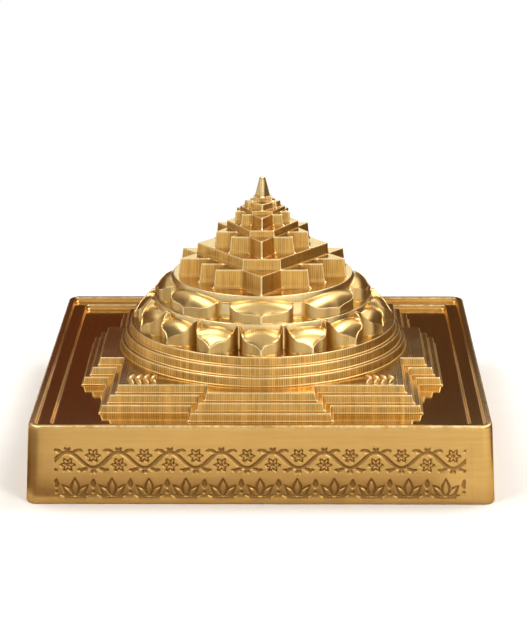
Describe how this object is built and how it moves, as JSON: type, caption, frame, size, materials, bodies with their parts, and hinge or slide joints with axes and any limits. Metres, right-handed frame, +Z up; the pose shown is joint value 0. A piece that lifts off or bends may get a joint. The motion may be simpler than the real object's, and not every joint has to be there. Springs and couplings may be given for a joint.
{
  "type": "meru shri yantra",
  "caption": "Free-standing brass meru shri yantra: stepped stars of interlocking triangles over lotus tiers, round girdles and gated square terraces in a shallow square tray.",
  "frame": {"origin": "on the table, under the middle of the tray", "axes": "+Z up, towards the spire; -Y towards the front, the side the picture shows; +X to the right of the picture"},
  "size_m": [0.0764, 0.0764, 0.0455],
  "materials": {
    "tray_brass": "brushed, with an engraved band",
    "tier_brass": "milled, with upright tool marks",
    "lotus_brass": "polished petals",
    "star_brass": "milled, with worn bright edges",
    "tie_steel": "bright steel"
  },
  "bodies": {
    "root": {"base_tray": "tray_brass", "lower_terrace": "tier_brass", "middle_terrace": "tier_brass", "upper_terrace": "tier_brass", "lower_girdle": "tier_brass", "middle_girdle": "tier_brass", "upper_girdle": "tier_brass", "sixteen_petal_lotus": "lotus_brass", "eight_petal_lotus": "lotus_brass", "fourteen_point_star": "star_brass", "fourteen_star_step": "star_brass", "outer_ten_point_star": "star_brass", "outer_ten_star_step": "star_brass", "inner_ten_point_star": "star_brass", "inner_ten_star_step": "star_brass", "eight_point_star": "star_brass", "eight_star_step": "star_brass", "bindu_spire": "star_brass", "tie_bar": "tie_steel", "tie_washer": "tie_steel", "tie_nut": "tie_steel"}
  },
  "joints": []
}
